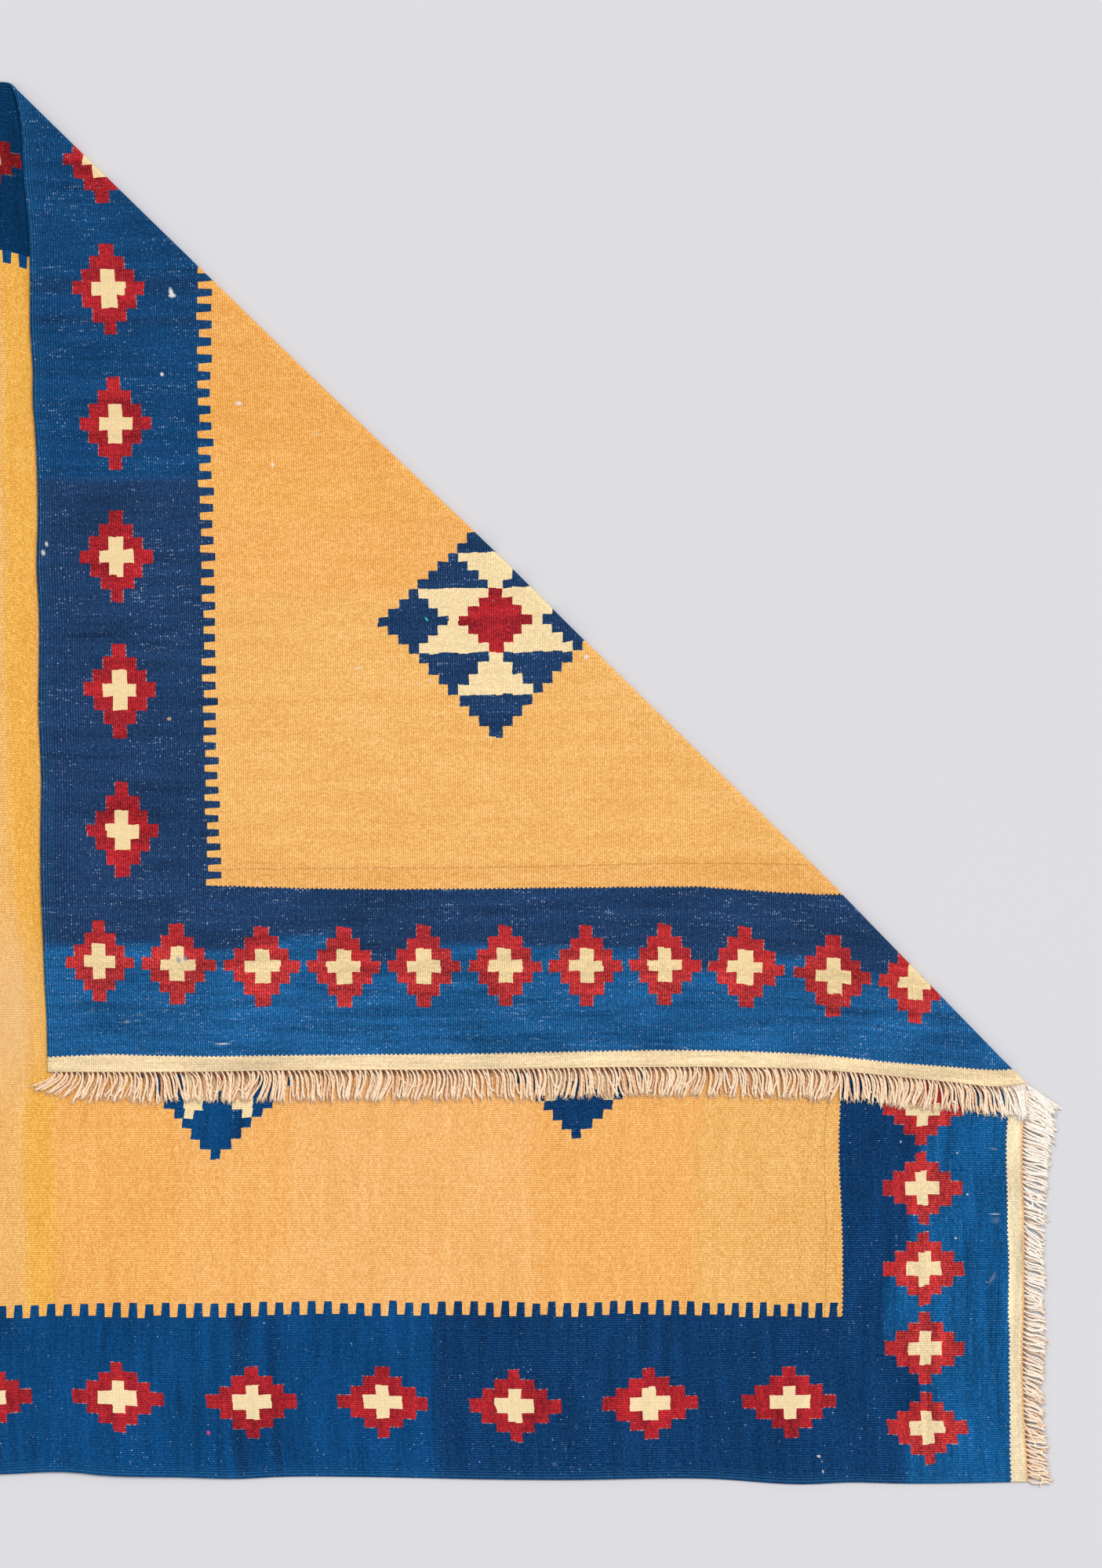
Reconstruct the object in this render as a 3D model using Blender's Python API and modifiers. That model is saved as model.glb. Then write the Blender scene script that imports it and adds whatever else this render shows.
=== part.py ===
import math
import random

import bmesh
import bpy
import numpy as np

# Kilim rug: one flat-woven cloth lying on the floor with its back right corner folded over onto
# the rest, and a fringe of warp ends along both short ends.
# All in metres. A place on the flat cloth is (along, across): along runs from the right end (0)
# to the left end, across from the front selvedge (0) to the back one.
clothLength = 2.520
clothWidth = 1.784
clothThick = 0.003
bendRadius = 0.0032
layerGap = 0.001
settleLength = 0.030
originAlong = 1.2742
originAcross = 0.8902

# The silhouette of the fold passes through this place, at this angle to the rug's length.
foldAlong = 0.637
foldAcross = 1.1400
foldAngle = math.radians(-44.55)

cellSize = 0.066
gridReach = 2.31
endStep = 0.030
bendSteps = 8

fringeGap = 0.0007
stripWidth = 0.003
fringeThick = 0.0024
lockPitch = 0.0121
lockRoot = 0.0074
lockTip = 0.0046

# How far the cloth lies out of a true rectangle, in millimetres, by its place in millimetres.
# The right end leans to the left towards the back.
rightEnd = {
    "across": (0, 60, 160, 230, 310, 430, 550, 612, 675, 740, 803, 866, 930, 1000, 1230, 1475, 1655, 1784),
    "shift": (-5, -0.5, 2.5, 0.5, -0.5, 1.5, -5, 1, 7, 13.5, 18.5, 21.5, 23.5, 25, 25.5, 28, 28.6, 31),
}
# The left end, out of frame, keeps that lean with a little waviness of its own.
leftEnd = {
    "across": (0, 200, 420, 700, 950, 1200, 1500, 1784),
    "shift": (3, -2, 2, -1, 3, -2, 2, -3),
}
# The front selvedge waves gently.
frontEdge = {
    "along": (0, 165, 226, 286, 406, 606, 706, 776, 856, 956,
              1006, 1081, 1181, 1221, 1306, 1420, 1700, 2060, 2520),
    "shift": (-1.5, -3.5, -2, -4.5, 2.5, 1, 2, 3.5, 5, 5,
              2.5, 4.5, 7, 11, 8.5, 4, 6, 1, -2),
}
# The back selvedge is drawn in on the folded corner.
backEdge = {
    "along": (0, 730, 830, 1000, 1065, 1147, 1205, 1245, 1262, 1290, 1600, 1900, 2200, 2520),
    "shift": (-27, -27.5, -25.5, -23.5, -22.5, -18, -14.5, -6, -1, 0, 2, -2, 1, 0),
}
# The fold bows outwards along its middle.
foldBow = {
    "run": (-855, -641, -356, -214, -71, 72, 214, 357, 570, 642, 713, 855),
    "shift": (0, 1.1, 3.1, 4.8, 7.9, 8.2, 7.2, 8, 7.9, 4.5, 2.5, 0),
}
# How far the fringe tips lean across from their roots.
rightLean = {
    "across": (0, 60, 130, 210, 300, 400, 500),
    "shift": (-5, -9, -10, -7, -10, -8, -11),
}
flapLean = {
    "across": (500, 548, 604, 655, 695, 736, 772, 823, 895, 951, 1007, 1060, 1093, 1129, 1180, 1246,
               1313, 1384, 1430, 1476, 1517, 1553, 1619, 1675, 1721, 1784),
    "shift": (-13, -12, -8, 3, -6, -8, 2, -3, -7, 3, 2, -11, -6, 0, -7, -4,
              2, 4, -8, -4, 6, -1, -9, 0, 9, 15),
}
leftLean = {
    "across": (0, 180, 420, 650, 900, 1180, 1400, 1784),
    "shift": (4, -5, 3, -6, 5, -3, 6, -4),
}


# Cubic curve through a table, each point's slope that of its neighbours; millimetres to metres.
def fromTable(table, place):
    at, value = (np.asarray(column, float) / 1000 for column in table.values())
    slope = np.gradient(value, at)
    place = np.clip(place, at[0], at[-1])
    k = np.clip(np.searchsorted(at, place, side="right") - 1, 0, len(at) - 2)
    span = at[k + 1] - at[k]
    f = (place - at[k]) / span
    ends = (1 + 2 * f) * (1 - f) ** 2 * value[k] + f * f * (3 - 2 * f) * value[k + 1]
    slopes = f * (1 - f) ** 2 * slope[k] - f * f * (1 - f) * slope[k + 1]
    return ends + span * slopes


# Smooth step from 0 at start to 1 at stop.
def easeIn(value, start, stop):
    f = np.clip((value - start) / (stop - start), 0, 1)
    return f * f * (3 - 2 * f)


# Shift of each place from the true rectangle: each edge's table, fading away from that edge.
def drift(along, across):
    nearLeft = easeIn(along, clothLength - 0.35, clothLength)
    nearFront = 1 - easeIn(across, 0.0, 0.35)
    nearBack = easeIn(across, 0.45, 1.0)
    shiftAlong = fromTable(rightEnd, across) + nearLeft * fromTable(leftEnd, across)
    shiftAcross = nearFront * fromTable(frontEdge, along) + nearBack * fromTable(backEdge, along)
    return shiftAlong, shiftAcross


# Place on the flat cloth to the floor plan before folding: X towards the right end, Y to the back.
def planOf(along, across):
    shiftAlong, shiftAcross = drift(along, across)
    return originAlong - along - shiftAlong, across + shiftAcross - originAcross


# Floor plan back to the flat cloth: the drift is taken off again until it settles.
def flatOf(x, y):
    along, across = originAlong - x, y + originAcross
    for _ in range(12):
        shiftAlong, shiftAcross = drift(along, across)
        along, across = originAlong - x - shiftAlong, y + originAcross - shiftAcross
    return along, across


# Directions along the fold and square to it, and the place on the floor where the bend starts.
foldRun = np.array([math.cos(foldAngle), math.sin(foldAngle)])
foldOut = np.array([-foldRun[1], foldRun[0]])
foldEdge = np.array([originAlong - foldAlong, foldAcross - originAcross])
foldFoot = foldEdge - foldOut * (bendRadius + clothThick / 2)


# Fold coordinates of a plan place: run goes along the fold, out goes square to it, past the crease.
def foldPlace(x, y):
    x, y = x - foldFoot[0], y - foldFoot[1]
    return x * foldRun[0] + y * foldRun[1], x * foldOut[0] + y * foldOut[1]


# Plan place from fold coordinates.
def planFromFold(run, out):
    return (foldFoot[0] + foldRun[0] * run + foldOut[0] * out,
            foldFoot[1] + foldRun[1] * run + foldOut[1] * out)


# Out with the bow of the fold added, fading away on both sides of the fold.
def bowed(run, out):
    return out + fromTable(foldBow, run) * np.exp(-((out / 0.15) ** 2))


# Bends the cloth past the crease: half a circle up and back, then flat, settling onto the layer
# below. Gives the bent out and the height of the middle of the cloth.
def foldOver(out):
    turn = np.clip(out / bendRadius, 0, math.pi)
    past = np.clip(out - math.pi * bendRadius, 0, None)
    loose = 2 * bendRadius - clothThick - layerGap
    height = bendRadius * (1 - np.cos(turn)) - loose * (1 - np.exp(-((past / settleLength) ** 2)))
    return np.where(out > 0, bendRadius * np.sin(turn) - past, out), height + clothThick / 2


# The folded corner's back selvedge stands up a little in shallow waves.
def edgeLift(along, across, out):
    near = np.exp(-(((clothWidth - across) / 0.07) ** 2))
    inside = easeIn(out, 0.03, 0.12) * easeIn(along, 0.05, 0.25)
    return near * inside * (0.0016 + 0.0010 * np.sin(along / 0.11))


# Places across where both the cloth's ends and the fringes beside them have a corner.
endLines = [endStep * k for k in range(1, math.ceil(clothWidth / endStep))]


# Puts the finished object in its collection with its own material.
def finish(obj, collection, colour, roughness):
    material = bpy.data.materials.new(obj.name)
    material.use_nodes = True
    shader = material.node_tree.nodes["Principled BSDF"]
    shader.inputs["Base Color"].default_value = (*colour, 1)
    shader.inputs["Roughness"].default_value = roughness
    shader.inputs["Metallic"].default_value = 0
    obj.data.materials.append(material)
    collection.objects.link(obj)


# Cuts the faces along a plane, and takes off what lies past it where trimmed is set.
def cut(mesh, faces, place, direction, trimmed=False):
    parts = {part for face in faces for part in (*face.verts, *face.edges, face)}
    bmesh.ops.bisect_plane(mesh, geom=list(parts), plane_co=place, plane_no=direction, clear_outer=trimmed)


# Columns of the vertices' coordinates.
def placesOf(mesh):
    return np.array([vert.co[:] for vert in mesh.verts]).T


# Moves every vertex to its row of the three coordinates.
def moveTo(mesh, x, y, z):
    for vert, place in zip(mesh.verts, np.stack([x, y, z], axis=1)):
        vert.co = place


# The cloth: a grid whose lines run with the fold, with close lines round the crease, trimmed to the
# rug's four edges, then drifted, folded over and thickened.
def makeCloth(collection):
    cells = 2 * math.ceil(gridReach / cellSize)
    mesh = bmesh.new()
    bmesh.ops.create_grid(mesh, x_segments=cells, y_segments=cells, size=cells * cellSize / 2)
    arc = math.pi * bendRadius
    lines = [arc * k / bendSteps for k in range(1, bendSteps + 1)]
    lines += [arc + settleLength * share for share in (0.4, 0.85, 1.35)]
    lines += [cellSize * share for share in (-1.5, -0.5, 1.5)]
    for line in lines:
        cut(mesh, mesh.faces, (0, line, 0), (0, 1, 0))

    run, out, flat = placesOf(mesh)
    moveTo(mesh, *flatOf(*planFromFold(run, out)), flat)
    far = (clothLength, clothWidth, 0)
    for corner, outwards in (((0, 0, 0), (-1, 0, 0)), ((0, 0, 0), (0, -1, 0)),
                             (far, (1, 0, 0)), (far, (0, 1, 0))):
        cut(mesh, mesh.faces, corner, outwards, trimmed=True)
    for line in endLines:
        atEnds = [face for face in mesh.faces
                  if any(min(vert.co.x, clothLength - vert.co.x) < 0.0001 for vert in face.verts)]
        cut(mesh, atEnds, (0, line, 0), (0, 1, 0))
    bmesh.ops.remove_doubles(mesh, verts=mesh.verts, dist=0.0001)

    along, across, flat = placesOf(mesh)
    run, out = foldPlace(*planOf(along, across))
    bentOut, height = foldOver(out)
    moveTo(mesh, *planFromFold(run, bowed(run, bentOut)), height + edgeLift(along, across, out))
    bmesh.ops.recalc_face_normals(mesh, faces=mesh.faces)
    data = bpy.data.meshes.new("kilim_cloth")
    mesh.to_mesh(data)
    mesh.free()
    cloth = bpy.data.objects.new("kilim_cloth", data)
    thicken = cloth.modifiers.new("thickness", "SOLIDIFY")
    thicken.thickness = clothThick
    thicken.offset = 0
    thicken.use_even_offset = True
    finish(cloth, collection, (0.88, 0.43, 0.14), 0.92)


# A fringe backing: a narrow strip beside the cloth's end, from start to stop across, with a lock of
# warp ends every lockPitch that tapers to its leaning tip. Outwards is -1 at the right end, 1 at the left.
def makeFringe(collection, name, outwards, start, stop, length, lean, level, folded=False):
    chance = random.Random(name)
    locks = int((stop - start - lockRoot) / lockPitch)
    strip = fringeGap + stripWidth
    points = [(fringeGap, across) for across in [start, *endLines, stop] if start <= across <= stop]
    for k in range(locks, -1, -1):
        root = start + lockRoot / 2 + (stop - start - lockRoot) * k / locks
        tip = root + float(fromTable(lean, root)) + chance.uniform(-0.0010, 0.0010)
        reach = length * chance.uniform(0.84, 1.0)
        points += [(strip, root + lockRoot / 2), (reach, tip + lockTip / 2),
                   (reach, tip - lockTip / 2), (strip, root - lockRoot / 2)]
    places = np.array(points)
    end = clothLength if outwards > 0 else 0
    run, out = foldPlace(*planOf(end + outwards * places[:, 0], places[:, 1]))
    if folded:
        out = bowed(run, math.pi * bendRadius - out)
    curve = bpy.data.curves.new(name, "CURVE")
    curve.dimensions = "2D"
    curve.fill_mode = "BOTH"
    curve.extrude = fringeThick / 2
    outline = curve.splines.new("POLY")
    outline.points.add(len(points) - 1)
    for point, x, y in zip(outline.points, run, out):
        point.co = (x, y, 0, 1)
    outline.use_cyclic_u = True
    fringe = bpy.data.objects.new(name, curve)
    fringe.location = (*foldFoot, level)
    fringe.rotation_euler = (0, 0, foldAngle)
    finish(fringe, collection, (0.68, 0.49, 0.33), 0.95)


for old in list(bpy.data.objects):
    bpy.data.objects.remove(old)

kilim = bpy.data.collections.new("kilim_rug")
bpy.context.scene.collection.children.link(kilim)

makeCloth(kilim)
onFloor = fringeThick / 2
onCloth = clothThick + 0.0004 + fringeThick / 2
makeFringe(kilim, "fringe_right", -1, 0.003, 0.492, 0.034, rightLean, onFloor)
makeFringe(kilim, "fringe_flap", -1, 0.530, 1.781, 0.040, flapLean, onCloth, folded=True)
makeFringe(kilim, "fringe_left", 1, 0.003, 1.781, 0.038, leftLean, onFloor)
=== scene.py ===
import functools
import math

import bpy
import numpy as np
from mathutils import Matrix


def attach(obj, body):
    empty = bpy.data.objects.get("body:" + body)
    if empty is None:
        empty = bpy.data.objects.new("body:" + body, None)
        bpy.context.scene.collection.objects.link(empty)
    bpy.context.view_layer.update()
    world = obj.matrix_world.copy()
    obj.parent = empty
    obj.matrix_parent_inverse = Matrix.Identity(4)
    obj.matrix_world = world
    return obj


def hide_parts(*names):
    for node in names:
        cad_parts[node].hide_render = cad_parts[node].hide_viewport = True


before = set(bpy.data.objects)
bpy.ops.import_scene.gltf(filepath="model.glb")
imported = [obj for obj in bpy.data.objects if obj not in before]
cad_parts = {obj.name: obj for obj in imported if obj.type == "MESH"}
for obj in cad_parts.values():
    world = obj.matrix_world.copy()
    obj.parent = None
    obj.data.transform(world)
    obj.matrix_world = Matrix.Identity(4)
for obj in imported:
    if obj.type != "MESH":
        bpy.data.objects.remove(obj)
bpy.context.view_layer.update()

mm = 0.001

cloth = {
    "length": 2.520,  # along the warps, between the fringed ends
    "width": 1.784,  # across, between the selvedges
    "thick": 0.0030,
    "bendRadius": 0.0032,  # of the middle of the cloth in the fold
    "layerGap": 0.0010,  # between the flap and the cloth below
    "settle": 0.030,  # the distance in which the flap comes down
    "bowReach": 0.15,  # how far from the fold its bow fades
    "cordWidth": 0.0052, "cordHalf": 0.0019,  # the selvedge cord and half its height
    "cordShare": 0.93,  # of its width, where the plain cloth starts
    "grooveDepth": 0.0005, "grooveAway": 0.0006, "grooveWidth": 0.0008,
    "edgeRound": 0.0012,
    "endReach": 0.0035, "reachStart": (0.50, 0.56),  # how far the folded end reaches out, from there
    "rippleHeight": 0.0006,
    "rowStep": 0.0140, "edgeRows": (0.002, 0.010),  # mesh rows along the fold, closer at the first and last
    "bendRows": 14, "settleLength": 0.036, "settleStep": 0.0036,
    "columns": 158, "edgeColumns": (0, 0.4, 1.0, 1.8, 2.6, 3.4, 4.2, 4.8, 5.3, 5.9, 6.6, 8.0),  # mm
    "outlinePoints": 900,
}
# From the right front corner: the middle of the rug's box, and a point of the fold.
rug = {"originAlong": 1.2742, "originAcross": 0.8902,
       "foldAlong": 0.637, "foldAcross": 1.1400, "foldAngle": math.radians(-44.55)}

# How far each edge strays from straight: place along it and shift, in mm.
rightEnd = {
    "across": (0, 60, 160, 230, 310, 430, 550, 612, 675, 740, 803, 866, 930, 1000, 1230, 1475, 1655, 1784),
    "shift": (-5, -0.5, 2.5, 0.5, -0.5, 1.5, -5, 1, 7, 13.5, 18.5, 21.5, 23.5, 25, 25.5, 28, 28.6, 31),
}
leftEnd = {"across": (0, 200, 420, 700, 950, 1200, 1500, 1784), "shift": (3, -2, 2, -1, 3, -2, 2, -3)}
frontEdge = {
    "along": (0, 165, 226, 286, 406, 606, 706, 776, 856, 956, 1006, 1081, 1181, 1221, 1306, 1420, 1700,
        2060, 2520),
    "shift": (-1.5, -3.5, -2, -4.5, 2.5, 1, 2, 3.5, 5, 5, 2.5, 4.5, 7, 11, 8.5, 4, 6, 1, -2),
}
backEdge = {
    "along": (0, 730, 830, 1000, 1065, 1147, 1205, 1245, 1262, 1290, 1600, 1900, 2200, 2520),
    "shift": (-27, -27.5, -25.5, -23.5, -22.5, -18, -14.5, -6, 0, 2, 2, -2, 1, 0),
}
foldBow = {
    "run": (-855, -641, -356, -214, -71, 72, 214, 357, 570, 642, 713, 855),
    "shift": (-2.4, -1.4, 0.2, 2.1, 5, 4.4, 4.2, 4.8, 3.8, 2.2, 0.6, -2.6),
}
# The folded selvedge is wavier than the rest of the back edge, in its outermost 5 cm.
selvedgeWave = {
    "along": (0, 70, 105, 165, 225, 310, 373, 403, 463, 523, 583, 643, 700, 733, 823, 853, 883, 943, 1003,
        1063, 1097, 1131, 1165, 1200, 1240, 1275),
    "shift": (1.5, 2, 3.5, 5.2, 7, 7, 5.5, 6.4, 8, 6.4, 5.3, 7, 3.7, 2.9, 3.3, 4.9, 3.5, 5.6, 3.9, 3, 3.2,
        4.2, 3.4, 2.6, 0.9, 0),
}
# The metres in which each edge's shift fades into the cloth.
fading = {"end": 0.35, "front": 0.35, "back": (0.45, 1.0), "wave": 0.05, "rounds": 12}


# A smooth curve through a table's rows: cubic between them with np.gradient's slopes. mm in, metres out.
def fromTable(table, place):
    at, value = (np.asarray(column, float) * mm for column in table.values())
    slope = np.gradient(value, at)
    place = np.clip(place, at[0], at[-1])
    row = np.clip(np.searchsorted(at, place, side="right") - 1, 0, len(at) - 2)
    span = at[row + 1] - at[row]
    part = (place - at[row]) / span
    ends = (1 + 2 * part) * (1 - part) ** 2 * value[row] + part * part * (3 - 2 * part) * value[row + 1]
    slopes = part * (1 - part) ** 2 * slope[row] - part * part * (1 - part) * slope[row + 1]
    return ends + span * slopes


# 0 before start and 1 after stop, with f * f * (3 - 2 f) between them.
def easeIn(value, start, stop):
    part = np.clip((value - start) / (stop - start), 0, 1)
    return part * part * (3 - 2 * part)


# How far a point lies from its place in a true rectangle: each edge's shift times how near that edge is.
def drift(along, across):
    nearLeft = easeIn(along, cloth["length"] - fading["end"], cloth["length"])
    nearFront = 1 - easeIn(across, 0.0, fading["front"])
    nearBack = easeIn(across, *fading["back"])
    nearSelvedge = easeIn(across, cloth["width"] - fading["wave"], cloth["width"])
    return (fromTable(rightEnd, across) + nearLeft * fromTable(leftEnd, across),
            nearFront * fromTable(frontEdge, along) + nearBack * fromTable(backEdge, along)
            + nearSelvedge * fromTable(selvedgeWave, along))


# Flat cloth to the floor plan before folding: x = origin - along - drift, y = across + drift - origin.
def planOf(along, across):
    alongDrift, acrossDrift = drift(along, across)
    return rug["originAlong"] - along - alongDrift, across + acrossDrift - rug["originAcross"]


# The way back: the drift is taken off again and again until it settles.
def flatOf(x, y):
    alongHere, acrossHere = rug["originAlong"] - x, y + rug["originAcross"]
    along, across = alongHere, acrossHere
    for _ in range(fading["rounds"]):
        alongDrift, acrossDrift = drift(along, across)
        along, across = alongHere - alongDrift, acrossHere - acrossDrift
    return along, across


# Run is along the fold, and out is across it, from where the cloth starts to bend.
foldRun = np.array((math.cos(rug["foldAngle"]), math.sin(rug["foldAngle"])))
foldOut = np.array((-foldRun[1], foldRun[0]))
foldEdge = np.array((rug["originAlong"] - rug["foldAlong"], rug["foldAcross"] - rug["originAcross"]))
foldFoot = foldEdge - foldOut * (cloth["bendRadius"] + cloth["thick"] / 2)
bendLength = math.pi * cloth["bendRadius"]


# Floor plan to run and out: the place from the fold's foot, times each direction.
def foldPlace(x, y):
    x, y = x - foldFoot[0], y - foldFoot[1]
    return x * foldRun[0] + y * foldRun[1], x * foldOut[0] + y * foldOut[1]


# The way back: foot + run along + out across.
def planFromFold(run, out):
    return (foldFoot[0] + foldRun[0] * run + foldOut[0] * out,
            foldFoot[1] + foldRun[1] * run + foldOut[1] * out)


# The fold's line bows by its table's shift * exp(-(out / bowReach)^2).
def bowed(run, out):
    return out + fromTable(foldBow, run) * np.exp(-((out / cloth["bowReach"]) ** 2))


# Half a turn, then back over the cloth: out = radius sin(turn) - past, and
# height = radius (1 - cos(turn)) - loose (1 - exp(-(past / settle)^2)) + thick / 2.
def foldOver(out):
    radius = cloth["bendRadius"]
    turn = np.clip(out / radius, 0, math.pi)
    past = np.clip(out - bendLength, 0, None)
    loose = 2 * radius - cloth["thick"] - cloth["layerGap"]
    height = radius * (1 - np.cos(turn)) - loose * (1 - np.exp(-((past / cloth["settle"]) ** 2)))
    return np.where(out > 0, radius * np.sin(turn) - past, out), height + cloth["thick"] / 2


# The folded selvedge stands off the cloth: exp(-(distance / reach)^2) (lift + wave sin(along / waveLength)).
foldedEdge = {"reach": 0.07, "lift": 0.0016, "wave": 0.0010, "waveLength": 0.11,
              "fromFold": (0.03, 0.12), "fromEnd": (0.05, 0.25)}


def edgeLift(along, across, out):
    near = np.exp(-(((cloth["width"] - across) / foldedEdge["reach"]) ** 2))
    inside = easeIn(out, *foldedEdge["fromFold"]) * easeIn(along, *foldedEdge["fromEnd"])
    lift = foldedEdge["lift"] + foldedEdge["wave"] * np.sin(along / foldedEdge["waveLength"])
    return near * inside * lift


# Unevenness of the laid cloth, for both layers alike: a sum of crossing waves, never below 0.
def ripple(x, y):
    waves = (np.sin(x * 13.1 + 2.1 * np.sin(y * 5.3)) * np.sin(y * 11.7 + 1.3) * 0.38
             + np.sin(x * 29.0 - y * 17.0 + 0.7) * 0.22 + np.sin(x * 6.1 + y * 41.0) * 0.16)
    return cloth["rippleHeight"] * (0.76 + waves)


# The front selvedge lifts in places: exp(-(across / width)^2) * sum of lift exp(-(distance / reach)^2).
liftWidth = 0.030
selvedgeLifts = {"middle": (1.180, 0.560, 1.560, 2.050), "reach": (0.160, 0.090, 0.120, 0.150),
                 "lift": (0.0024, 0.0008, 0.0016, 0.0012)}


def frontLift(along, across):
    near = np.exp(-((across / liftWidth) ** 2))
    bumps = sum(lift * np.exp(-(((along - middle) / reach) ** 2))
                for middle, reach, lift in zip(*selvedgeLifts.values()))
    return near * bumps


# A row of the mesh every rowStep, and closer where the cloth bends and settles.
def rowPlaces(corners):
    first, last = corners[0], corners[3]
    near, far = cloth["edgeRows"]
    settled = bendLength + cloth["settleLength"]
    marks = sorted((*corners, first + near, first + far, last - far, last - near, 0.0, bendLength, settled))
    rows = [np.array(marks[:1])]
    slack = 1e-9
    for start, stop in zip(marks, marks[1:]):
        bending = -slack < start and stop < bendLength + slack
        settling = start > bendLength - slack and stop < settled + slack
        step = cloth["settleStep"] if settling else cloth["rowStep"]
        if bending:
            step = bendLength / cloth["bendRows"]
        rows.append(np.linspace(start, stop, max(1, math.ceil((stop - start) / step)) + 1)[1:])
    return np.concatenate(rows)


# The cloth's right end: at 0, and endReach further out where it is folded over.
def endPlace(across):
    return -cloth["endReach"] * easeIn(across, *cloth["reachStart"])


# The outline as two chains of points from the first corner to the folded one: along, across, run, out.
def outlineChains():
    length, width = cloth["length"], cloth["width"]
    part = np.linspace(0, 1, cloth["outlinePoints"])
    front = (np.concatenate([length * (1 - part), endPlace(width * part[1:])]),
             np.concatenate([0 * part, width * part[1:]]))
    farCorner = endPlace(width)
    back = (np.concatenate([length + 0 * part, length + (farCorner - length) * part[1:]]),
            np.concatenate([width * part, width + 0 * part[1:]]))
    return [(along, across, *foldPlace(*planOf(along, across))) for along, across in (front, back)]


# Half the thickness: an ellipse for the selvedge's cord, a groove of exp(-(distance / width)^2) beside it,
# and the ends rounded by sqrt(1 - (1 - end)^2).
def halfThick(along, across):
    side = np.minimum(across, cloth["width"] - across)
    end = np.minimum(along - endPlace(across), cloth["length"] - along)
    middle = np.clip((side - cloth["cordWidth"] / 2) / (cloth["cordWidth"] / 2), -1, 1)
    cord = cloth["cordHalf"] * np.sqrt(np.clip(1 - middle ** 2, 0, None))
    beside = (side - cloth["cordWidth"] - cloth["grooveAway"]) / cloth["grooveWidth"]
    plain = cloth["thick"] / 2 - cloth["grooveDepth"] * np.exp(-(beside ** 2))
    body = np.where(side < cloth["cordWidth"] * cloth["cordShare"], cord, plain)
    rounding = np.clip(end / cloth["edgeRound"], 0, 1)
    return body * np.sqrt(1 - (1 - rounding) ** 2)


# The middle of the cloth at a flat place and its upright: the fold's slope there, turned by a quarter.
def onCloth(along, across, run=None, out=None):
    if run is None:
        run, out = foldPlace(*planOf(along, across))
    bent, height = foldOver(out)
    nudge = 1e-5
    ahead, behind = foldOver(out + nudge), foldOver(out - nudge)
    slopeOut, slopeUp = ahead[0] - behind[0], ahead[1] - behind[1]
    size = np.hypot(slopeOut, slopeUp)
    x, y = planFromFold(run, bowed(run, bent))
    height = height + edgeLift(along, across, out) + frontLift(along, across) + ripple(x, y)
    upright = np.stack([-slopeUp / size * foldOut[0], -slopeUp / size * foldOut[1], slopeOut / size], -1)
    return np.stack([x, y, height], -1), upright


# Distances across each row: close together at the selvedges, which a row crosses at 45 degrees, then even.
def columnPlaces(lengths):
    edge = np.array(cloth["edgeColumns"]) * mm * math.sqrt(2)
    first = edge[None] * np.minimum(1, 0.30 * lengths / edge[-1])[:, None]
    even = np.linspace(0, 1, cloth["columns"])[None, 1:-1]
    inner = first[:, -1:] + (lengths[:, None] - 2 * first[:, -1:]) * even
    return np.concatenate([first, inner, (lengths[:, None] - first)[:, ::-1]], 1)


# Where each motif sits on the flat cloth, in mm. The unseen left goes on at the same spacing.
sideMotifs = {
    "front": {
        "along": (127, 297, 477, 649, 817, 983, 1155, 1321, 1497, 1678, 1860, 2041, 2223, 2404),
        "middle": (104, 104, 96, 94.4, 97, 97.6, 102, 99, 97, 100, 96, 98, 101, 100),
    },
    "back": {
        "along": (134, 304, 484, 654, 823, 997, 1162, 1295, 1490, 1671, 1852, 2033, 2213, 2394),
        "middle": (97, 97.7, 95.7, 95.1, 99.6, 96, 92.9, 98, 96, 99, 97, 99, 102, 100),
    },
}
endMotifs = {
    "across": (0, 21, 71.7, 170.4, 271, 374, 475.5, 562, 660.8, 773.9, 894.8, 998.8, 1097, 1201, 1305, 1406,
        1510, 1619, 1718, 1763, 1784),
    "number": (0.49, 0.5, 1, 2, 3, 4, 5, 6, 7, 8, 9, 10, 11, 12, 13, 14, 15, 16, 17, 17.5, 17.51),
    "middle": (124, 124, 124.3, 125.1, 128.7, 129.7, 131.4, 124, 117.8, 115.8, 123.8, 126.5, 126.1, 128.1,
        129, 128.3, 130.2, 133.8, 137.9, 138, 138),
}
medallions = {
    "front": {
        "along": (115, 570.5, 1029.5, 1489, 1946, 2404),
        "number": (0, 1, 2, 3, 4, 5),
        "middle": (584.5, 584.5, 557, 578, 586, 580),
    },
    "back": {
        "along": (105, 419, 526, 566, 607, 652, 1023, 1484, 1946, 2404),
        "number": (0, 0.686, 0.9045, 1, 1.0955, 1.2047, 2, 3, 4, 5),
        "middle": (1211, 1211, 1211, 1211, 1211, 1211, 1204, 1208, 1199, 1204),
    },
}
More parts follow.
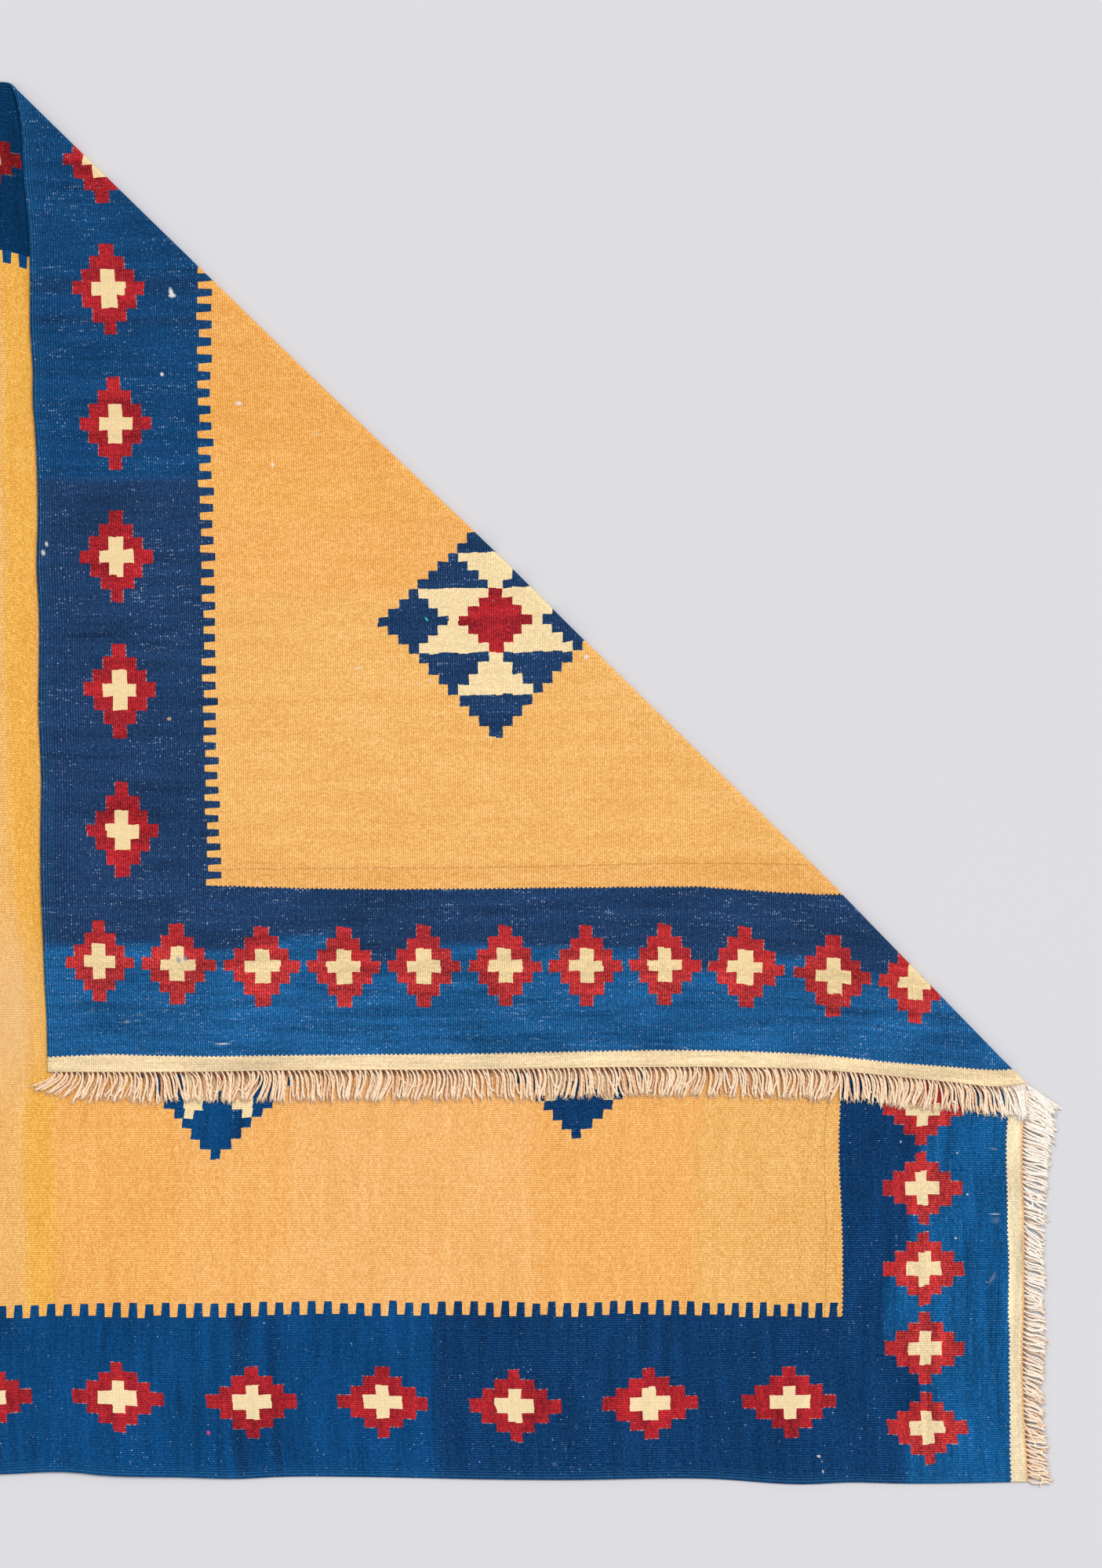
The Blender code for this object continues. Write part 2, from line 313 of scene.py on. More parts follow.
# From the end: where the field starts and the cream band stops. From each side: the comb's line and teeth.
fieldEnd = {
    "across": (0, 240, 400, 500, 520, 560, 700, 802, 855, 906, 957, 1055, 1154, 1354, 1454, 1554, 1784),
    "away": (232, 232, 235, 237.5, 237, 228, 222, 217.8, 218.4, 221.4, 225, 225.4, 227, 227, 228.6, 232.9,
        237),
}
bandEdge = {
    "across": (0, 38, 68, 98, 188, 218, 278, 323, 368, 458, 584, 664, 718, 772, 878, 981, 1231, 1381, 1481,
        1581, 1706, 1784),
    "away": (22.6, 21, 19, 17.6, 17.2, 20.4, 20, 22, 20.6, 21, 17, 14.7, 14, 15.4, 17, 18, 16.8, 16.4, 15.9,
        16, 19.6, 15.7),
}
combLine = {
    "front": {
        "along": (0, 245, 313, 386, 460, 700, 867, 1030, 1119, 1198, 1282, 1900, 2520),
        "away": (219, 217.5, 219.5, 218, 220, 218.5, 218.5, 217.5, 216, 216, 213, 218, 219),
    },
    "back": {
        "along": (0, 263, 376, 505, 740, 880, 1004, 1100, 1266, 1700, 2520),
        "away": (214, 213, 211, 211, 212, 215, 219, 221, 225, 219, 222),
    },
}
combTeeth = {
    "front": {
        "along": (224, 244, 386, 543, 701, 867, 1032, 1198, 1282, 2274),
        "number": (-1, 0, 8, 16, 24, 32, 40, 48, 52, 101),
    },
    "back": {
        "along": (229, 247, 355, 468, 590, 715, 840, 971, 1009, 1248, 1269, 2274),
        "number": (-1, 0, 6, 12, 18, 24, 30, 36, 38, 50, 51, 101),
    },
}
# The end borders change from bright to navy at a step of its own between each two motifs, mapped to limit.
brightEnd = {"limit": 150, "halfStep": 12, "fade": (200, 260),
             "steps": (152, 125, 176, 142, 128, 112, 125, 121, 136, 119, 145, 148, 153, 127, 166, 147, 159,
                       156)}
# Stepped lozenges in mm: row along the warps, column across, half the middle column, how far a step strays,
# and the rim's step.
lozenges = {
    "side": {"pitch": 168, "steps": {"Row": 16.6, "Column": 12.2, "Middle": 9.0, "Stray": 2.4, "Rim": 3.0}},
    "end": {"pitch": 101, "steps": {"Row": 14.7, "Column": 12.2, "Middle": 9.0, "Stray": 2.4, "Rim": 3.0}},
    "medallion": {"pitch": 458, "rowPitch": 624,
                  "steps": {"Row": 12.5, "Column": 12.6, "Middle": 9.0, "Stray": 2.2, "Rim": 11.0}},
}


# What the pattern needs at each point, straight between the tables' rows: lengths in mm and motifs' counts,
# with 20 and 40 added on the far sides to tell their motifs apart.
def patternPlaces(along, across):
    u, v = along / mm, across / mm
    length, width = cloth["length"] / mm, cloth["width"] / mm
    front = v < width / 2
    fromEnd, fromSide = np.minimum(u, length - u), np.minimum(v, width - v)

    def bySide(tables, column):
        return np.where(front, *(np.interp(u, tables[side]["along"], tables[side][column])
                                 for side in ("front", "back")))

    def byEnd(table, column):
        return np.interp(v, table["across"], table[column])

    counts = {side: {"along": table["along"], "count": np.arange(len(table["along"]))}
              for side, table in sideMotifs.items()}
    sideCount = bySide(counts, "count") + np.where(front, 0, 20)
    sideOff = fromSide - bySide(sideMotifs, "middle")
    endCount = byEnd(endMotifs, "number") + np.where(u < length / 2, 0, 40)
    endOff = fromEnd - byEnd(endMotifs, "middle")
    column = bySide(medallions, "number")
    row = np.where(front, 0, 1) + (v - bySide(medallions, "middle")) / lozenges["medallion"]["rowPitch"]
    teeth = bySide(combTeeth, "number")
    middles = np.array(endMotifs["across"][2:-2])
    halfStep = brightEnd["halfStep"]
    changes = np.stack([middles - halfStep, middles + halfStep], 1).ravel()
    steps = np.repeat(brightEnd["steps"], 2)[1:-1]
    nearEnd = 1 - easeIn(fromEnd, *brightEnd["fade"])
    dyeShift = (brightEnd["limit"] - np.interp(v, changes, steps)) * nearEnd
    dyePlace = u + dyeShift * np.sign(length / 2 - u)
    edges = (fromEnd - byEnd(bandEdge, "away"), fromEnd - byEnd(fieldEnd, "away"),
             fromSide - bySide(combLine, "away"))
    return {"motifPlace": (sideCount, sideOff, endCount), "motifRows": (endOff, teeth, dyePlace),
            "medallionPlace": (column, row), "edgePlace": edges}


# A mesh object at the origin, unturned.
def meshObject(name, points, faces, materials, smooth=True):
    mesh = bpy.data.meshes.new(name)
    mesh.from_pydata(points.reshape(-1, 3).tolist(), [], faces)
    if smooth:
        mesh.shade_smooth()
    mesh.validate()
    piece = bpy.data.objects.new(name, mesh)
    bpy.context.scene.collection.objects.link(piece)
    for material in materials:
        mesh.materials.append(material)
    return piece


# Up to three numbers for each point, which the material reads.
def addPlaces(piece, name, columns):
    values = np.zeros((len(piece.data.vertices), 3), np.float32)
    for k, column in enumerate(columns):
        values[:, k] = column
    attribute = piece.data.attributes.new(name, "FLOAT_VECTOR", "POINT")
    attribute.data.foreach_set("vector", values.ravel())


# Rows run along the fold. Each is a ring over the face and back under it, middle + upright * half thickness;
# the first and last are single points, the rug's corners.
def makeCloth(material):
    chains = outlineChains()
    turn = cloth["outlinePoints"] - 1
    corners = sorted((chains[0][3][0], chains[0][3][turn], chains[1][3][turn], chains[0][3][-1]))
    out = rowPlaces(corners)
    high, low = ([np.interp(out, chain[3], chain[k]) for k in (0, 1, 2)] for chain in chains)
    run = low[2][:, None] + columnPlaces(high[2] - low[2])
    outGrid = np.broadcast_to(out[:, None], run.shape)
    along, across = flatOf(*planFromFold(run, outGrid))
    for k, (grid, least) in enumerate(((along, -cloth["endReach"]), (across, 0))):
        grid[:, 0], grid[:, -1] = low[k], high[k]
        np.clip(grid, least, (cloth["length"], cloth["width"])[k], out=grid)
    middle, upright = onCloth(along, across, run, outGrid)
    half = halfThick(along, across)[..., None]
    half[:, 0] = half[:, -1] = 0
    middle[..., 2:] += np.clip(half - cloth["thick"] / 2, 0, None)
    face, reverse = middle + upright * half, middle - upright * half
    rings = np.concatenate([face, reverse[:, -2:0:-1]], 1)[1:-1]
    rows, around = rings.shape[:2]
    index = np.arange(rows * around).reshape(rows, around) + 1
    ahead = np.roll(index, -1, 1)
    quads = np.stack([index[:-1], index[1:], ahead[1:], ahead[:-1]], -1).reshape(-1, 4)
    firstFan = np.stack([0 * index[0], index[0], ahead[0]], -1)
    lastFan = np.stack([0 * index[0] + rows * around + 1, ahead[-1], index[-1]], -1)
    points = np.concatenate([middle[0, :1], rings.reshape(-1, 3), middle[-1, :1]])
    piece = meshObject("cloth", points, quads.tolist() + firstFan.tolist() + lastFan.tolist(), [material])
    flat = []
    for grid in (along, across):
        ring = np.concatenate([grid, grid[:, -2:0:-1]], 1)[1:-1]
        flat.append(np.concatenate([grid[0, :1], ring.ravel(), grid[-1, :1]]))
    columns = run.shape[1]
    under = np.concatenate([np.zeros(columns), np.ones(columns - 2)])
    under = np.concatenate([[0.5], np.tile(under, rows), [0.5]])
    addPlaces(piece, "flatPlace", (flat[0] / mm, flat[1] / mm, under))
    for name, values in patternPlaces(*flat).items():
        addPlaces(piece, name, values)
    print("cloth:", len(points), "points,", 2 * len(quads) + 2 * around, "triangles")
    return piece


# A value on its way through a node tree: arithmetic on it adds the Math node for that sum.
class Wire:
    def __init__(self, tree, socket):
        self.tree, self.socket = tree, socket

    def maths(self, operation, *others, clamp=False):
        node = self.tree.nodes.new("ShaderNodeMath")
        node.operation, node.use_clamp = operation, clamp
        for socket, value in zip(node.inputs, (self, *others)):
            give(self.tree, socket, value)
        return Wire(self.tree, node.outputs[0])

    def __rsub__(self, other):
        return self * -1 + other

    def clamped(self):
        return self.maths("ADD", 0.0, clamp=True)


mathsNodes = {"__add__": "ADD", "__radd__": "ADD", "__sub__": "SUBTRACT", "__mul__": "MULTIPLY",
              "__truediv__": "DIVIDE", "__pow__": "POWER", "__abs__": "ABSOLUTE", "over": "GREATER_THAN",
              "under": "LESS_THAN", "most": "MAXIMUM", "round": "ROUND", "floor": "FLOOR", "ceil": "CEIL",
              "fract": "FRACT", "sign": "SIGN", "cosine": "COSINE"}
for method, operation in mathsNodes.items():
    setattr(Wire, method, functools.partialmethod(Wire.maths, operation))


# A socket gets a link from a wire or another socket, or a value.
def give(tree, socket, value):
    if isinstance(value, Wire):
        value = value.socket
    if isinstance(value, bpy.types.NodeSocket):
        tree.links.new(value, socket)
    elif value is not None:
        socket.default_value = value


# A node with its settings and inputs, _ standing for a space.
def addNode(tree, kind, settings=(), **inputs):
    node = tree.nodes.new(kind)
    for name, value in dict(settings).items():
        setattr(node, name, value)
    for name, value in inputs.items():
        give(tree, node.inputs[name.replace("_", " ")], value)
    return node


# Three numbers as one vector, and a vector as three numbers.
def vector(tree, x, y, z=0.0):
    return addNode(tree, "ShaderNodeCombineXYZ", X=x, Y=y, Z=z).outputs[0]


def splitUp(tree, value):
    split = addNode(tree, "ShaderNodeSeparateXYZ", Vector=value)
    return [Wire(tree, socket) for socket in split.outputs]


# The numbers that addPlaces gave each point.
def places(tree, name):
    read = addNode(tree, "ShaderNodeAttribute", {"attribute_name": name})
    return splitUp(tree, read.outputs["Vector"])


# Smooth noise between 0 and 1 at x, y and z.
def noise(tree, x, y, z=0.0, detail=1.0, roughness=0.5):
    node = addNode(tree, "ShaderNodeTexNoise", Vector=vector(tree, x, y, z), Scale=1.0, Detail=detail,
                   Roughness=roughness)
    return Wire(tree, node.outputs["Fac"])


# The same over two directions, by its size along each.
def noiseOver(tree, along, across):
    def grown(alongSize, acrossSize, seed=0.0, detail=1.0):
        return noise(tree, along / alongSize, across / acrossSize, seed, detail)
    return grown


# A number between 0 and 1 for each whole x, y and z.
def chance(tree, x, y, z=0.0):
    node = addNode(tree, "ShaderNodeTexWhiteNoise", {"noise_dimensions": "3D"}, Vector=vector(tree, x, y, z))
    return Wire(tree, node.outputs["Value"])


# first (1 - share) + second share, where second is multiplied by first for kind MULTIPLY.
def blend(tree, share, first, second, kind="MIX"):
    node = tree.nodes.new("ShaderNodeMix")
    node.data_type, node.blend_type = "RGBA", kind
    for socket, value in zip((0, 6, 7), (share, first, second)):
        give(tree, node.inputs[socket], value)
    return node.outputs[2]


# Colours laid one over another, each with its share.
def layered(tree, colour, *layers):
    for share, shown in layers:
        colour = blend(tree, share, colour, shown)
    return colour


# A node group of numbers: startGroup names what it takes and endGroup what it gives back.
def startGroup(name, *inputs):
    tree = bpy.data.node_groups.new(name, "ShaderNodeTree")
    for socket in inputs:
        tree.interface.new_socket(socket, in_out="INPUT", socket_type="NodeSocketFloat")
    entry = tree.nodes.new("NodeGroupInput")
    return tree, [Wire(tree, entry.outputs[socket]) for socket in inputs]


# The group's numbers by name, as its outputs.
def endGroup(tree, **outputs):
    for socket in outputs:
        tree.interface.new_socket(socket, in_out="OUTPUT", socket_type="NodeSocketFloat")
    leave = tree.nodes.new("NodeGroupOutput")
    for socket, value in outputs.items():
        give(tree, leave.inputs[socket], value)
    return tree


# A group with its inputs, and its outputs by name.
def useGroup(tree, group, **inputs):
    node = addNode(tree, "ShaderNodeGroup", {"node_tree": group}, **inputs)
    return {socket.name: Wire(tree, socket) for socket in node.outputs}


# A material and its node tree.
def newMaterial(name):
    material = bpy.data.materials.new(name)
    material.use_nodes = True
    return material, material.node_tree


# The shader's sockets by name, with a bump of height, strength and distance.
def finishMaterial(tree, bump=None, **sockets):
    if bump:
        height, strength, distance = bump
        node = addNode(tree, "ShaderNodeBump", Height=height, Strength=strength, Distance=distance)
        sockets["Normal"] = node.outputs["Normal"]
    for name, value in sockets.items():
        give(tree, tree.nodes["Principled BSDF"].inputs[name.replace("_", " ")], value)


# Level is how bright white paper shows on the floor, 1 being white.
light = {"level": 1.30, "sky": 0.744, "skyColour": (0.985, 0.99, 1.0),
         "sun": 2.10, "sunColour": (1.0, 0.985, 0.96), "sunTilt": 33.0, "sunTurn": 52.0, "sunWidth": 28.0}


# Colours as they show, 0 to 255, to the surface's own: the screen's curve undone, over the light's level.
# The yarn's go a little past white on the screen and are still under 0.85 themselves.
def dyed(shown):
    if isinstance(shown, dict):
        return {name: dyed(colour) for name, colour in shown.items()}
    shown = np.array(shown) / 255
    linear = np.where(shown > 0.04045, ((shown + 0.055) / 1.055) ** 2.4, shown / 12.92)
    return (*(linear / light["level"]).tolist(), 1.0)


# Blues and ambers change from dye lot to dye lot: mm from the right end, and the colour from there on.
wool = dyed({
    "cream": (244, 224, 185), "crossCream": (247, 222, 176), "medallionCream": (247, 222, 173),
    "red": (182, 34, 44), "darkRed": (134, 24, 38), "endRed": (196, 46, 50), "darkEndRed": (148, 34, 44),
    "wornRed": (222, 112, 98), "wornAmber": (252, 208, 150), "wornBlue": (58, 130, 182),
    "rootLine": (226, 166, 104), "fleck": (168, 186, 216), "amberFleck": (250, 226, 190),
    "slit": (226, 190, 180), "darkWeft": (150, 96, 40), "rust": (176, 112, 40),
    "blues": {0: (10, 80, 136), 150: (9, 49, 95), 755: (5, 63, 116), 950: (9, 49, 95), 958: (5, 62, 115),
              985: (9, 52, 97), 1012: (5, 63, 115), 1300: (7, 57, 104), 1610: (12, 54, 99),
              1940: (7, 64, 116), 2370: (12, 81, 137)},
    "ambers": {0: (242, 181, 100), 420: (244, 176, 95), 625: (246, 181, 105), 925: (245, 178, 98),
               1075: (244, 174, 90), 1238: (241, 176, 73), 1274: (242, 182, 102), 1500: (245, 178, 97),
               1900: (241, 176, 91), 2200: (245, 179, 99)},
})
# The side that the folded corner shows.
reverseWool = dyed({
    "cream": (242, 215, 171), "crossCream": (245, 217, 165),
    "blues": {0: (23, 83, 137), 150: (29, 51, 89), 755: (15, 61, 107), 950: (20, 51, 92), 958: (15, 61, 107),
              985: (20, 52, 93), 1012: (14, 62, 108), 1300: (14, 57, 103), 1610: (28, 54, 94),
              1940: (16, 64, 110), 2370: (24, 84, 137)},
    "ambers": {0: (238, 174, 93), 258: (243, 181, 99), 600: (244, 175, 93), 700: (242, 174, 87),
               760: (241, 170, 84), 1120: (240, 169, 81), 1500: (241, 173, 90), 2000: (239, 174, 88)},
})
tints = dyed({"lint": (244, 240, 236), "dust": (120, 145, 178), "soil": (158, 162, 172),
              "faded": (244, 204, 156), "pink": (238, 70, 140), "teal": (80, 206, 186)})
# Lint, smudges and stains by tint: where on the flat cloth, reach and turn, which side and how strong, mm.
marks = {        # along, across, reachAlong, reachAcross, turn, underside, strength
    "lint": ((38, 341, 6.5, 0.8, 0, 0, 0.6), (265, 35, 2.4, 1.6, 0.3, 0, 0.8),
        (261.3, 28, 0.9, 1, 0, 0, 0.6), (261.3, 15.5, 1.2, 2.2, 0, 0, 0.65),
        (990.6, 1608, 6, 2.6, 0.2, 1, 0.95), (987, 1607, 2.4, 4.4, 0, 1, 0.95),
        (886.3, 1623.1, 2.6, 2, 0.3, 1, 0.9), (669.5, 1772.5, 3, 1.7, 0.1, 1, 0.75),
        (658.5, 1776, 3.6, 2.2, 0.2, 1, 0.75), (847.8, 1526.3, 2.6, 4, 0, 1, 0.8),
        (768.8, 1486.4, 2.3, 2.3, 0.4, 1, 0.85), (32, 1561.7, 0.9, 9, 0, 1, 0.75),
        (517.2, 1096.2, 2.2, 3.4, 0.4, 1, 0.85), (508.4, 1384.3, 1.1, 5.5, 0.1, 1, 0.55),
        (491.9, 1293.2, 3.6, 1.1, 0.6, 1, 0.6), (72, 366, 1.8, 1, 0.4, 0, 0.8),
        (88.5, 310, 1.3, 1.3, 0, 0, 0.85), (84, 419, 1.2, 1.2, 0, 0, 0.6),
        (156.5, 433, 1.2, 1.4, 0, 0, 0.55)),
    "dust": ((37, 333, 4.5, 4, 0, 0, 0.35), (602.9, 20.5, 3.5, 2.5, 0.2, 0, 0.3),
        (139.7, 1617, 4.2, 2.9, 0.2, 1, 0.7), (141.7, 1608, 3.8, 2.4, 0.3, 1, 0.75)),
    "soil": ((37.6, 424.8, 4.5, 1.4, 0.2, 0, 0.4), (41.5, 259, 2, 8, 0.5, 0, 0.35),
        (61.1, 1683.2, 2, 3.4, 0, 1, 0.55)),
    "faded": ((1315, 600, 70, 110, 0.1, 0, 0.35), (446.9, 1625.8, 2.2, 2.6, 0, 1, 0.65),
        (806.2, 1430.2, 1.6, 7.5, 0, 1, 0.6), (487.2, 1310, 2.4, 2.4, 0, 1, 0.4)),
    "pink": ((1041.1, 58.7, 2, 2.7, 0.1, 0, 0.95),),
    "teal": ((569, 1297.8, 2.8, 1.4, 0.6, 1, 0.9),),
}


# Each mark is an ellipse with a noisy edge: share = strength * (1.6 - 1.2 distance), with distance 1 at it.
def marked(tree, colour, along, across, underside):
    rough = (noise(tree, along / 1.4, across / 1.4, 30.0, 1.0) - 0.5) * 2.4
    spot = vector(tree, along + rough, across + rough)

    def inMark(place, aside, reach, width, turn, side, strength):
        local = addNode(tree, "ShaderNodeMapping", {"vector_type": "TEXTURE"}, Vector=spot,
                        Location=(place, aside, 0), Rotation=(0, 0, turn), Scale=(reach, width, 1))
        away = addNode(tree, "ShaderNodeVectorMath", {"operation": "LENGTH"}, Vector=local.outputs["Vector"])
        onSide = underside if side else 1 - underside
        return (1.6 - Wire(tree, away.outputs["Value"]) * 1.2).clamped() * onSide * strength

    for tint, rows in marks.items():
        share = functools.reduce(Wire.most, [inMark(*row) for row in rows])
        colour = blend(tree, share, colour, tints[tint])
    return colour


# A ramp of the lots' colours: each holds up to the next, then changes over 2 mm.
def dyeLots(tree, along, lots):
    length = cloth["length"] / mm
    ramp = addNode(tree, "ShaderNodeValToRGB", Fac=along / length)
    stops = []
    for (start, colour), stop in zip(lots.items(), [*list(lots)[1:], None]):
        stops += [((start + 2) / length, colour)] + ([(stop / length, colour)] if stop else [])
    elements = ramp.color_ramp.elements
    for element, (place, colour) in zip(list(elements), (stops[0], stops[-1])):
        element.position, element.color = place, colour
    for place, colour in stops[1:-1]:
        elements.new(place).color = colour
    return ramp.outputs["Color"]


# Pitches and relief in mm.
weaving = {"ribPitch": 2.9, "beadPitch": 1.4, "relief": 0.45, "grain": 0.28, "dotWidth": 0.24, "dots": 0.62,
           "loneDots": 0.0010}


# Ribs along the warps, each a string of beads, every second one half a bead further on: height =
# |cos(pi v / rib)|^0.6 (0.55 + 0.45 |cos(pi u / bead)|), shade = 0.91 + 0.26 height + chances, where the
# height term is painted shade, darker in the grooves between ribs and beads, and the chances are the yarn's
# own tone. Crown is the worn ribs' tops, |cos|^3 in broken stretches. Bare is dots of undyed warp on them,
# where a bead's chance is over 1 - (dots * lines * patches + loneDots) * amount.
def weaveGroup():
    tree, (along, across, amount) = startGroup("weave", "Along", "Across", "Amount")
    grown = noiseOver(tree, along, across)
    ribs = (across + grown(30, 30) * 1.6) / weaving["ribPitch"]
    rib = ribs.round()
    beads = along / weaving["beadPitch"] + rib * 0.5 + grown(7, 3) * 0.8
    bead = beads.round()
    ribHeight = abs(((ribs - rib) * math.pi).cosine())
    beadHeight = abs(((beads - bead) * math.pi).cosine()) * 0.45 + 0.55
    height = ribHeight ** 0.6 * beadHeight
    speck = (chance(tree, rib, bead, 3.0) - 0.5) * weaving["grain"]
    twist = (grown(1.4, 1.9, 5.0, 2.0) - 0.5) * weaving["grain"] * 1.4
    stretches = (noise(tree, along / 3.6, rib * 0.9, 9.0, 1.5) * 2.8 - 0.9).clamped()
    waved = along + noise(tree, across / 60, along / 200, 2.0) * 6
    lines = (noise(tree, waved / 2.6, across / 30, 4.0, 1.0) * 7 - 3.9).clamped()
    patches = (grown(45, 80, 8.0) * 3.4 - 1.3).clamped()
    limit = 1.0 - (lines * patches * weaving["dots"] + weaving["loneDots"]) * amount
    dot = abs(ribs - rib).under(weaving["dotWidth"]) * chance(tree, rib, bead, 9.0).over(limit)
    # In Shade the height term is painted shade in the grooves; speck and twist are the yarn's own tone.
    return endGroup(tree, Height=height, Shade=height * 0.26 + 0.91 + speck + twist,
                    Crown=ribHeight ** 3 * beadHeight * stretches,
                    Bare=dot * (chance(tree, rib, bead, 6.0) * 0.6 + 0.2))


# Unevenly dyed wool: 1 + amount * (1.2 fine + 1.5 broad + 0.9 patch), all noise drawn out along each weft.
def streakGroup():
    tree, (along, across, amount) = startGroup("streaks", "Along", "Across", "Amount")
    grown = noiseOver(tree, along, across)
    fine = grown(1.3, 70, 1.0, 1.0) - 0.5
    broad = grown(14, 160, 7.0, 2.0) - 0.5
    patch = grown(90, 120, 11.0, 2.0) - 0.5
    return endGroup(tree, Shade=(fine * 1.2 + broad * 1.5 + patch * 0.9) * amount + 1.0)


# A lozenge in steps: columns = ceil((|across| - middle) / column), rows = round(|along| / row), level = both
# together. Each step's edge strays by a chance of its own. Slit is the rim's edges along the warps.
def steppedGroup():
    tree, (along, across, motif, row, column, middle, stray, rim) = startGroup(
        "steppedLozenge", "Along", "Across", "Motif", "Row", "Column", "Middle", "Stray", "Rim")
    slitWidth = 0.8

    def steps(value):
        return ((abs(value) - middle) / column).ceil().most(0.0)

    columnHere = steps(across) * across.sign()
    strayed = along + (chance(tree, motif, columnHere, along.sign() + 0.3) - 0.5) * stray
    rows = (abs(strayed) / row).round()
    rowHere = rows * along.sign()
    strayedAcross = across + (chance(tree, motif + 0.5, rowHere, across.sign() + 0.6) - 0.5) * stray
    columns = steps(strayedAcross)
    level = rows + columns
    inStep = ((abs(strayedAcross) - middle) / column).fract() * column
    outside = abs(level - rim - 1).under(0.5) * inStep.under(slitWidth) * columns.over(0.5)
    inside = abs(level - rim).under(0.5) * (column - inStep).under(slitWidth)
    return endGroup(tree, Columns=columns, Rows=rows, Level=level, Slit=outside.most(inside))


wearAndShadow = {
    "worn": 0.34, "wornBright": 0.26, "wornRed": 0.10,  # share of worn colour on the ribs, less in red
    "bare": 0.15, "bareBlue": 0.85,  # bare warp dots
    "fluff": 0.20, "fluffReverse": 0.35, "fluffBright": 0.25,  # pale fibres on the blue
    "slits": 0.35, "rootLine": 0.8, "cords": 0.34,
    "streaks": 0.11, "streaksBlue": 0.38, "streaksRed": 0.2,
    "darkWeft": 0.34, "darkWeftAt": 254,  # one dark weft, mm from the right end
    "rust": 0.8, "rustTo": 380, "rustFade": 60,  # rust-brown dashes up to there
    # Painted shadow: the cloth's face near the back selvedge, under and beside the fold's edge, is
    # multiplied darker.
    "behind": 0.6, "foldShadowFrom": 1568, "foldShadowColour": (0.3, 0.26, 0.22, 1.0),  # in the fold's shadow
}


